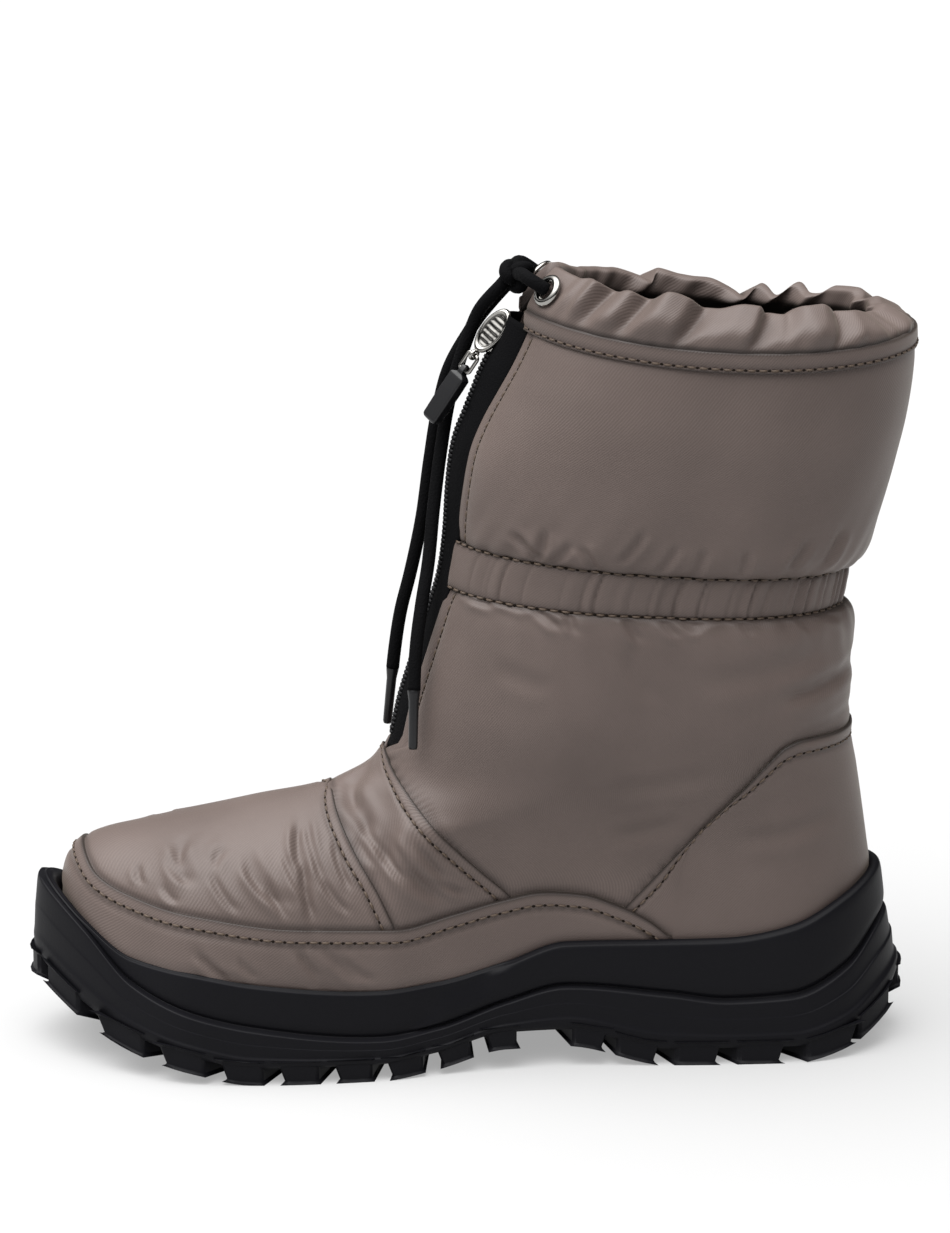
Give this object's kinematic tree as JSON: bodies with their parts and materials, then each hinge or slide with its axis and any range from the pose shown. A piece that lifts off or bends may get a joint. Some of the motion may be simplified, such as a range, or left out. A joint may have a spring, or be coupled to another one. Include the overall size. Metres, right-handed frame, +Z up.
{
  "type": "winter boot",
  "caption": "Padded nylon winter boot with a moulded rubber lug sole, elastic waist, centre-front zip with hanging pull, and a gathered collar tied by a drawcord.",
  "frame": {"origin": "on the floor under the middle of the boot's box", "axes": "+X towards the toe, +Y to the wearer's left, which is the outer side, +Z up"},
  "size_m": [0.2933, 0.1032, 0.2647],
  "materials": {
    "sole_rubber": "satin black moulded rubber",
    "footbed": "dark felted footbed",
    "nylon": "taupe satin nylon over padding",
    "zip_tape": "black woven tape",
    "zip_coil": "black moulded teeth",
    "bright_metal": "polished plated metal",
    "cord": "black braided cord",
    "black_plastic": "smooth black plastic"
  },
  "bodies": {
    "boot": {"sole_unit": "sole_rubber", "insole": "footbed", "upper": "nylon", "mudguard": "nylon", "counter": "nylon", "vamp": "nylon", "instep_panel": "nylon", "collar_strip": "nylon", "collar": "nylon", "zip_tape": "zip_tape", "zip_teeth": "zip_coil", "zip_slider": "bright_metal", "slider_cap": "bright_metal", "eyelet_outer": "bright_metal", "eyelet_inner": "bright_metal", "drawcord_knot": "cord", "drawcord_lead_outer": "cord", "drawcord_lead_inner": "cord", "drawcord_end_outer": "cord", "drawcord_end_inner": "cord", "aglet_outer": "black_plastic", "aglet_inner": "black_plastic"},
    "zip_pull": {"pull_link": "bright_metal", "pull_tab": "black_plastic"}
  },
  "joints": [
    {"name": "pull_hinge", "type": "hinge", "parent": "boot", "child": "zip_pull", "pos_m": [0.00039, 0.00117, 0.2331], "axis": [0.5871, -0.6691, 0.4556], "range_deg": [0, 110]}
  ]
}
